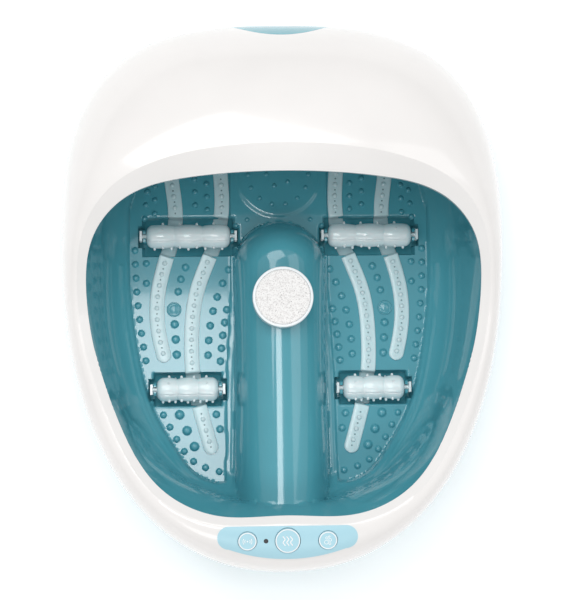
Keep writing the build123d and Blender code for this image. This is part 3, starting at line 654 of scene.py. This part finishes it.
# ---- top cover ------------------------------------------------------------------------
AXIS_Y = -10.0               # sections of the cover radiate from this point
OPENING_PLAN = [(0, -177), (55, -176.5), (98, -155.5), (130, -105), (150, -45), (156, 5), (150, 40),
                (125, 69), (74, 84.5), (0, 89)]
OPENING_FRONT_Z = 140.0
HOOD_RISE = 44.0             # height of the hood's edge above the front of the opening
RISE_Y = (-25, 110)          # the opening's edge climbs between these stations
HOOD_TURNS = (8, 60)         # the hood begins and is whole at these turns from the side, degrees
BAND_WIDTH = (7.0, 13.0)     # smooth band round the opening, and what the hood adds to it
BAND_DROP = (3.5, 8.5)       # the band's edge stands this much lower than its crease
COVER_POWER = 2.8            # power of the shoulder's curve at the front
HOOD_SLACK = 0.95            # by which that power falls towards the hood
SLACK_TURNS = (-40, 60)
LIP_DROP = 7.9               # the lip that hangs from the opening's edge
LIP_SET_BACK = 0.8
GRIP_HALF = 46.0             # half width of the teal grip behind its arc
GRIP_DEPTH = 18.0            # from the rearmost point of the cover to the arc
GRIP_END_INSET = 1.4         # from there to the arc's ends
GRIP_SINK = 0.6              # grip's face below the cover's


def mirrored_opening():
    """The opening's edge as a full loop, smooth across the middle plane."""
    left = [(-x, y) for x, y in OPENING_PLAN[-2:0:-1]]
    loop = OPENING_PLAN + left
    return smooth_line(loop[-4:] + loop + loop[:5], 2400)


def radius_table(line):
    """Turns about the cover's axis and distances from it, in order of turn."""
    angles = np.arctan2(line[:, 1] - AXIS_Y, line[:, 0])
    radii = np.hypot(line[:, 0], line[:, 1] - AXIS_Y)
    order = np.argsort(angles)
    return angles[order], radii[order]


OPENING_ANGLES, OPENING_RADII = radius_table(mirrored_opening())
OUTLINE_ANGLES, OUTLINE_RADII = radius_table(OUTLINE.points(np.linspace(-math.pi, math.pi, 4000)))


def cover_profile(azimuth):
    """Numbers of the cover's section at azimuths in radians, the same left and right."""
    folded = np.arcsin(np.clip(np.sin(azimuth), -1, 1))
    edge_r = np.interp(folded, OPENING_ANGLES, OPENING_RADII)
    edge_y = AXIS_Y + edge_r * np.sin(folded)
    hood = blend(np.degrees(folded), *HOOD_TURNS)
    rise = blend(edge_y, *RISE_Y) / blend(OPENING_PLAN[-1][1], *RISE_Y)
    edge_z = OPENING_FRONT_Z + HOOD_RISE * rise
    return {
        "edge_r": edge_r,
        "edge_z": edge_z,
        "crease_r": edge_r + BAND_WIDTH[0] + BAND_WIDTH[1] * hood,
        "crease_z": edge_z + BAND_DROP[0] + BAND_DROP[1] * hood,
        "outer_r": np.interp(folded, OUTLINE_ANGLES, OUTLINE_RADII),
        "fullness": COVER_POWER - HOOD_SLACK * blend(np.degrees(folded), *SLACK_TURNS),
    }


def shoulder(profile, offset, steps):
    """Rows of (radius, height) from the seam to the crease."""
    rows = []
    for k in range(steps + 1):
        angle = math.radians(90 - 90 * k / steps)
        out = math.sin(angle) ** (2 / profile["fullness"])
        up = max(0.0, math.cos(angle)) ** (2 / profile["fullness"])
        reach = profile["outer_r"] + offset - profile["crease_r"]
        rise = profile["crease_z"] + offset - SEAM_Z
        rows.append((profile["crease_r"] + reach * out, SEAM_Z + rise * up))
    return rows


def around(azimuths, rows):
    """Points of rows of (radius, height) about the cover's axis."""
    return np.vstack([np.column_stack([radius * np.cos(azimuths), AXIS_Y + radius * np.sin(azimuths), height])
                      for radius, height in rows])


def scallop_tool():
    """Prism behind an arc at the rear centre, where the teal grip sits."""
    edge_y = OUTLINE.numbers[2] - GRIP_END_INSET
    sagitta = GRIP_DEPTH - GRIP_END_INSET
    radius = (GRIP_HALF ** 2 + sagitta ** 2) / (2 * sagitta)
    half_turn = math.asin(GRIP_HALF / radius)
    turns = np.linspace(-half_turn, half_turn, 40)
    arc = [(radius * math.sin(t), edge_y - sagitta + radius * (1 - math.cos(t))) for t in turns]
    ring = arc + [(GRIP_HALF, 250.0), (-GRIP_HALF, 250.0)]
    return fix_normals(prism("scallop", ring, SEAM_Z - 3, 180.0))


def build_grip():
    """Teal insert behind the arc, just below the hood's own surface."""
    azimuths = np.linspace(math.radians(75), math.radians(105), 60)
    profile = cover_profile(azimuths)
    rows = shoulder(profile, -GRIP_SINK, 24) + shoulder(profile, -WALL, 24)[::-1]
    faces = grid_faces(len(rows), 60, wrap_rows=True) + column_caps(len(rows), 60)
    grip = fix_normals(mesh_object("rear_grip_insert", around(azimuths, rows), faces))
    cut(grip, [scallop_tool()], "INTERSECT")
    soften(grip, 30)
    return finish_piece(grip, MATERIALS["body_teal"], "body_teal", "rear_grip")


def button_tools():
    """Cylinders on the panel's normal that open the cover for the buttons."""
    tools = []
    for x, radius in BUTTONS.values():
        wide = radius + BUTTON_GAP
        tool = repeat("button_hole", [(wide, -14.0), (wide, 14.0)], [(0, 0, 0, 1.0)], steps=72)
        tools.append(fix_normals(move_mesh(tool, panel_place(x))))
    return tools


def build_cover():
    """Closed shell: shoulder, band and lip outside, and the shoulder again a wall further in."""
    count = 480
    band = 6
    azimuths = np.linspace(-math.pi, math.pi, count, endpoint=False)
    profile = cover_profile(azimuths)
    edge_r, edge_z = profile["edge_r"], profile["edge_z"]
    rows = shoulder(profile, 0.0, 30)
    for k in range(1, band + 1):
        t = k / band
        rows.append((profile["crease_r"] * (1 - t) + edge_r * t, profile["crease_z"] * (1 - t) + edge_z * t))
    rows.append((edge_r + LIP_SET_BACK, edge_z - LIP_DROP))
    rows.append((edge_r + LIP_SET_BACK + WALL, edge_z - LIP_DROP))
    rows += shoulder(profile, -WALL, 16)[::-1]
    faces = grid_faces(len(rows), count, wrap_rows=True, wrap_columns=True)
    cover = mesh_object("cover_shell", around(azimuths, rows), faces)
    cut(cover, [scallop_tool()] + button_tools())
    soften(cover, 28)
    return finish_piece(cover, MATERIALS["cover_white"], "cover_white", "top_cover")


# ---- massage nodes --------------------------------------------------------------------
NODE_PROFILE = [(3.2, -0.5), (3.1, 0.02), (2.75, 0.2), (2.4, 0.65), (2.2, 1.15), (1.8, 1.65), (1.2, 1.98),
                (0.5, 2.12), (0.12, 2.15)]
BOSS_PROFILE = [(6.3, -0.5), (6.2, 0.05), (5.85, 0.9), (5.5, 1.15), (5.1, 1.05), (4.8, 0.5), (4.5, 0.35),
                (3.6, 0.8), (2.4, 1.15), (1.2, 1.3), (0.2, 1.34)]
BOSS_PLACE = (88.5, -7.0)
SMALL_NODE = 0.85            # scale of the nodes at the toes and on the rear pad
PAD_RINGS = ((25.5, 14, 0.0), (10.0, 5, 0.6))      # radius, nodes and first turn of each ring
NODE_ROWS = [                # line of each row on the right footbed, its count and its nodes' scale
    ([(120.7, 43), (119.5, 8), (112.3, -49.7)], 9, 1.0),
    ([(111.4, 32), (111.4, 15.3)], 2, 1.0),
    ([(78.6, 28.4), (82.4, 18.9), (85, 8)], 3, 1.1),
    ([(88.1, -19.3), (86.5, -44.8)], 3, 1.2),
    ([(42.4, 26.1), (52.2, 3.5), (58.3, -20.2), (60.4, -45.5)], 7, 1.1),
    ([(44.4, -7.5), (47.9, -28.8), (50.1, -50.7)], 5, 1.1),
    ([(98, -95), (87, -115.5), (73, -134), (52, -142.5)], 7, 1.0),
    ([(84.5, -95), (72.4, -121.5)], 3, 1.35),
    ([(54, -95), (51, -107.3)], 2, 1.1),
    ([(60, 77), (61, 132)], 6, SMALL_NODE),
    ([(70, 81), (71, 125)], 5, SMALL_NODE),
    ([(104, 74), (103, 132)], 6, SMALL_NODE),
    ([(112.5, 70), (109, 104)], 4, SMALL_NODE),
]


def build_foot_nodes():
    """The massage nodes of each footbed."""
    for name, side in SIDES.items():
        places = [(side * x, y, FOOTBED_Z, scale) for line, count, scale in NODE_ROWS
                  for x, y in smooth_line(line, count)]
        nodes = repeat(f"massage_nodes_{name}", NODE_PROFILE, places)
        finish_piece(nodes, MATERIALS["basin_teal"], "basin_teal")


def build_bosses():
    """The round boss in the arch of each footbed."""
    places = [(side * BOSS_PLACE[0], BOSS_PLACE[1], FOOTBED_Z, 1.0) for side in SIDES.values()]
    bosses = repeat("foot_bosses", BOSS_PROFILE, places, steps=48)
    finish_piece(bosses, MATERIALS["basin_teal"], "basin_teal")


def build_pad_nodes():
    """Two rings of nodes on the rear pad, and two more nodes each side of the ridge's end."""
    places = []
    for radius, count, first in PAD_RINGS:
        for a in np.arange(count) * 2 * math.pi / count + first:
            x, y = radius * math.cos(a), REAR_PAD_Y + radius * math.sin(a)
            places.append((x, y, FLOOR_Z + 0.8, SMALL_NODE))
    for side in SIDES.values():
        places += [(side * x, y, FLOOR_Z, SMALL_NODE) for x, y in ((26.5, 68), (36, 63))]
    finish_piece(repeat("rear_pad_nodes", NODE_PROFILE, places), MATERIALS["basin_teal"], "basin_teal")


# ---- bearing ears ---------------------------------------------------------------------
EAR_GAP = 0.6                # lobed body to bearing ear
EAR_THICK = 2.2
EAR_HALF = 5.4
EAR_RISE = 4.2               # of the ear's top above the axle
SLOT_HALF = 2.05


def ear_shape(x0, x1, y, top, low):
    """Plate across x with a rounded top and a slot down to the axle."""
    half, slot = EAR_HALF, SLOT_HALF
    outline = [(-half, low), (-half, top - 2.2), (-half + 0.7, top - 0.7), (-half + 2.2, top), (-slot, top),
               (-slot, ROLLER_Z)]
    outline += [(slot * math.cos(a), ROLLER_Z + slot * math.sin(a)) for a in np.linspace(-2.6, -0.5, 7)]
    outline += [(slot, ROLLER_Z), (slot, top), (half - 2.2, top), (half - 0.7, top - 0.7),
                (half, top - 2.2), (half, low)]
    count = len(outline)
    points = [(x, y + u, v) for x in (x0, x1) for u, v in outline]
    return points, grid_faces(2, count, wrap_columns=True, flip=True) + row_caps(2, count, flip=True)


def build_ears():
    """An ear at each end of each roller, all in one piece."""
    points, faces = [], []
    for row in ROLLER_Y:
        for side in SIDES.values():
            for end in (-1, 1):
                near = side * ROLLER_X[row] + end * (ROLLER_HALF[row] + EAR_GAP)
                x0, x1 = sorted((near, near + end * EAR_THICK))
                some, polygons = ear_shape(x0, x1, ROLLER_Y[row], ROLLER_Z + EAR_RISE, POCKET_Z - 1)
                faces += [tuple(i + len(points) for i in polygon) for polygon in polygons]
                points += some
    ears = mesh_object("bearing_ears", points, faces, smooth=False)
    finish_piece(ears, MATERIALS["basin_teal"], "basin_teal")


# ---- bubble strips --------------------------------------------------------------------
STRIP_HALF = 6.2
STRIP_THICK = 1.8
STRIP_LINES = {
    "outer": [(92, 140), (90, 104), (87, 67), (94, 38), (101.5, 8), (102, -22), (96, -51)],
    "inner": [(52, 140), (48.5, 104), (49, 67), (58, 38), (69.5, 7), (74, -30), (73, -62),
              (66, -96), (57, -128)],
}
STRIP_COUNTS = {"outer": 250, "inner": 360}        # sections along each strip
STRIP_SECTION = [(-1.0, -0.4), (-1.0, 1.0), (-0.95, 1.45), (-0.84, 1.7), (-0.5, 1.84), (0.0, 1.88),
                 (0.5, 1.84), (0.84, 1.7), (0.95, 1.45), (1.0, 1.0), (1.0, -0.4)]
STRIP_LIFT = 0.2             # above a pocket's floor
BUBBLE_START = 4.0           # from the strip's end to its first bubble
BUBBLE_PITCH = 9.6
BUBBLE_PROFILE = [(2.1, -0.4), (2.05, 0.05), (1.8, 0.42), (1.45, 0.72), (0.9, 0.9), (0.4, 0.97),
                  (0.1, 0.98)]
PINHOLE_PROFILE = [(0.75, -0.5), (0.75, 0.10), (0.3, 0.12)]


def strip_floor(x, y):
    """Height of the floor below a strip, which dips in the roller pockets."""
    height = np.full(np.shape(x), FOOTBED_Z)
    for row in ROLLER_Y:
        mask = pocket_mask(np.abs(x), y, row, 1, edge=2.0)
        height = height * (1 - mask) + (pocket_floor(y, row) + STRIP_LIFT) * mask
    return height


def strip_marks(side, line, start):
    """Places on the strip every pitch from a start, clear of the pockets and the ends."""
    run = run_along(line)
    places = []
    for s in np.arange(start, run[-1] - 3.5, BUBBLE_PITCH):
        x, y = np.interp(s, run, line[:, 0]), np.interp(s, run, line[:, 1])
        if all(abs(y - ROLLER_Y[row]) > POCKET_HALF_Y[row] + 2.6 for row in ROLLER_Y):
            places.append((side * x, y, FOOTBED_Z + STRIP_THICK, 1.0))
    return places


def build_strip(name, side, place):
    """A round-ended translucent strip that follows the floor, with bubbles on it, and between them dark discs
    of painted shade where the strip is pierced.
    """
    count = STRIP_COUNTS[place]
    line = smooth_line(STRIP_LINES[place], count)
    ahead = np.gradient(line, axis=0)
    ahead /= np.linalg.norm(ahead, axis=1)[:, None]
    across = np.stack([-ahead[:, 1], ahead[:, 0]], -1)
    run = run_along(line)
    from_end = np.clip((np.minimum(run, run[-1] - run) + 0.05) / STRIP_HALF, 0, 1)
    width = STRIP_HALF * np.sqrt(np.clip(1 - (1 - from_end) ** 2, 0, 1))
    floor = strip_floor(line[:, 0], line[:, 1])
    rows = []
    for u, v in STRIP_SECTION:
        spot = line + across * (u * width)[:, None]
        rows.append(np.column_stack([side * spot[:, 0], spot[:, 1], floor + v]))
    last = (len(rows) - 1) * count
    bottom = [(j, last + j, last + j + 1, j + 1) for j in range(count - 1)]
    faces = grid_faces(len(rows), count, flip=side < 0) + bottom + column_caps(len(rows), count)
    strip = fix_normals(mesh_object(f"strip_{place}_{name}", np.vstack(rows), faces))
    soften(strip, 50)
    finish_piece(strip, MATERIALS["clear_blue"], "clear_blue", f"bubble_strip_{name}_{place}")
    domes = repeat(f"strip_bubbles_{place}_{name}", BUBBLE_PROFILE, strip_marks(side, line, BUBBLE_START))
    finish_piece(domes, MATERIALS["clear_blue"], "clear_blue")
    # dark discs between the bubbles: painted shade where the strip is pierced, not real openings
    between = strip_marks(side, line, BUBBLE_START + BUBBLE_PITCH / 2)
    hole_shade_discs = repeat(f"strip_pinholes_{place}_{name}", PINHOLE_PROFILE, between, steps=10)
    finish_piece(hole_shade_discs, MATERIALS["pinhole_shade"], "clear_blue")


# ---- rollers --------------------------------------------------------------------------
NECK_R = 8.5                 # between the three lobes
END_R = 4.6
END_ROUND = 4.6
SEAM_TURN = 58.0             # the shells' joint faces this many degrees above the front
GROOVE_DEPTH = 0.035         # of the joint's groove, as a share of the radius
GROOVE_WIDTH = 1.6           # in degrees
SHELL_TURNS = np.concatenate([[0, 0.8, 2.5], np.linspace(5, 175, 44), [177.5, 179.2, 180]])
PIN_PROFILE = [(1.25, -0.8), (1.15, 0.5), (1.0, 1.2), (0.7, 1.6), (0.35, 1.77), (0.08, 1.8)]
PIN_FOOT_R = 9.7             # pins over the necks stand on a taller foot
PIN_STEPS = 4.95             # pitches in a roller's length
PIN_ROWS = [(5, -2.0), (4, 22.0), (5, -34.0), (4, -62.0), (5, -95.0), (4, -125.0), (5, -150.0), (4, 176.0)]
LOBE_PIN_AT = 0.62           # two sunken pins on the upper shell, at this share of the half length
LOBE_PIN_TURN = 118.0
LOBE_PIN_SINK = 1.2


def roller_radius(u, half):
    """Radius of the lobed body at a distance u from its middle."""
    lobe = half / 3
    phase = np.abs(np.sin(np.pi * (u + half) / (2 * lobe)))
    skin = NECK_R + (ROLLER_R - NECK_R) * phase ** 0.6
    end = np.clip((half - np.abs(u)) / END_ROUND, 0, 1)
    return np.where(end < 1, END_R + (skin - END_R) * np.sqrt(1 - (1 - end) ** 2), skin)


def roller_shell(name, row, centre, part):
    """The turned surface on one side of the joint."""
    half = ROLLER_HALF[row]
    turn_in = half - END_ROUND
    stations = np.concatenate([np.linspace(-half, -turn_in, 16)[:-1], np.linspace(-turn_in, turn_in, 90),
                               np.linspace(turn_in, half, 16)[1:]])
    turns = np.radians(SEAM_TURN + (0 if part == "upper" else 180) + SHELL_TURNS)
    closeness = np.minimum(turns - turns[0], turns[-1] - turns)
    groove = 1 - GROOVE_DEPTH * np.exp(-(np.degrees(closeness) / GROOVE_WIDTH) ** 2)
    rows = []
    for u in stations:
        r = roller_radius(u, half) * groove
        rows.append(np.column_stack([np.full(len(turns), u), -r * np.cos(turns), r * np.sin(turns)]))
    long, wide = len(stations), len(turns)
    faces = grid_faces(long, wide)
    faces.append(tuple(range(wide)))
    faces.append(tuple((long - 1) * wide + k for k in range(wide)))
    faces.append(tuple([i * wide for i in range(long)] + [i * wide + wide - 1 for i in range(long)][::-1]))
    return soften(fix_normals(mesh_object(name, np.vstack(rows) + centre, faces)), 40)


def pin_place(centre, u, turn, foot):
    """A pin at a distance u from the roller's middle, pointing outwards at a turn."""
    return (Matrix.Translation(Vector(centre) + Vector((u, 0, 0)))
            @ Matrix.Rotation(math.radians(90 - turn), 4, "X") @ Matrix.Translation((0, 0, foot)))


def pin_places(row, centre, part):
    """Pins of one shell, in rows that are staggered from one turn to the next."""
    half = ROLLER_HALF[row]
    pitch = 2 * half / PIN_STEPS
    places = []
    for count, turn in PIN_ROWS:
        above = 0 <= (turn - SEAM_TURN) % 360 < 180
        if above != (part == "upper"):
            continue
        for k in range(count):
            u = (k - (count - 1) / 2) * pitch
            foot = max(PIN_FOOT_R, float(roller_radius(u, half)))
            places.append(pin_place(centre, u, turn, foot))
    if part == "upper":
        for u in (-half * LOBE_PIN_AT, half * LOBE_PIN_AT):
            foot = float(roller_radius(u, half)) - LOBE_PIN_SINK
            places.append(pin_place(centre, u, LOBE_PIN_TURN, foot))
    return places


def build_rollers():
    """Each roller's two shells and their pins, riding on the roller."""
    for row in ROLLER_Y:
        for name, side in SIDES.items():
            centre = np.array([side * ROLLER_X[row], ROLLER_Y[row], ROLLER_Z])
            body = f"{row}_roller_{name}"
            for part in ("upper", "lower"):
                half = f"{body}_{part}"
                shell = roller_shell(half, row, centre, part)
                pins = repeat(f"{half}_pins", PIN_PROFILE, pin_places(row, centre, part), steps=12)
                finish_piece(shell, MATERIALS["roller_white"], "roller_white", f"{half}_shell", body=body)
                finish_piece(pins, MATERIALS["roller_white"], "roller_white", body=body)


# ---- button rings and icons -----------------------------------------------------------
RING_INSET = 0.75            # from the button's edge
RING_LINE = 0.42             # half widths of the raised lines
ICON_LINE = {"massage": 0.28, "heat": 0.42, "bubble": 0.22}
LINE_FLATNESS = 0.35


def beads(name, lines, radius, x):
    """Raised lines on a button's face: flat beads along (u, v) lines, each open or closed."""
    curve = bpy.data.curves.new(name, "CURVE")
    curve.dimensions = "3D"
    curve.bevel_depth = radius * MM
    curve.bevel_resolution = 2
    for line, closed in lines:
        spline = curve.splines.new("POLY")
        spline.points.add(len(line) - 1)
        for point, (u, v) in zip(spline.points, line):
            point.co = (u * MM, v * MM, 0, 1)
        spline.use_cyclic_u = closed
    maker = bpy.data.objects.new(name + "_line", curve)
    bpy.context.scene.collection.objects.link(maker)
    bpy.context.view_layer.update()
    obj = bpy.data.objects.new(name, evaluated_mesh(maker))
    bpy.data.objects.remove(maker)
    bpy.context.scene.collection.objects.link(obj)
    on_face = panel_place(x) @ Matrix.Translation((0, 0, BUTTON_TOP * MM))
    return move_mesh(obj, on_face @ Matrix.Diagonal((1, 1, LINE_FLATNESS, 1)))


def icon_lines(kind):
    """Generic pictures: a radiating dot, three wavy lines and bubbles."""
    if kind == "massage":
        arcs = [circle_line(0, 0, r, mid - 38, mid + 38, 14) for r in (2.1, 3.5) for mid in (0, 180)]
        return [(circle_line(0, 0, 0.35, count=12), True)] + [(arc, False) for arc in arcs]
    if kind == "heat":
        steps = np.linspace(-1, 1, 24)
        return [([(u + 0.75 * math.sin(math.pi * 1.6 * t), 3.9 * t) for t in steps], False)
                for u in (-2.9, 0.0, 2.9)]
    bubbles = [(-1.3, -1.4, 1.5), (1.6, 0.4, 1.1), (-1.0, 2.0, 0.9), (1.4, -2.6, 0.8), (0.9, 3.1, 0.6)]
    return [(circle_line(u, v, r, count=24), True) for u, v, r in bubbles]


def build_prints():
    """A ring and an icon on each button, riding on the button."""
    for name, (x, radius) in BUTTONS.items():
        body = f"{name}_button"
        edge = circle_line(0, 0, radius - RING_INSET, count=72)
        ring = beads(f"{name}_ring", [(edge, True)], RING_LINE, x)
        finish_piece(ring, MATERIALS["icon_white"], "panel_blue", body=body)
        icon = beads(f"{name}_icon", icon_lines(name), ICON_LINE[name], x)
        finish_piece(icon, MATERIALS["icon_white"], "panel_blue", body=body)


paint_cad_nodes()
make_camera()
make_light()
make_floor()
build_basin()
build_foot_nodes()
build_bosses()
build_pad_nodes()
build_ears()
for strip_name, strip_side in SIDES.items():
    for strip_place in STRIP_LINES:
        build_strip(strip_name, strip_side, strip_place)
build_rollers()
build_cover()
build_grip()
build_prints()
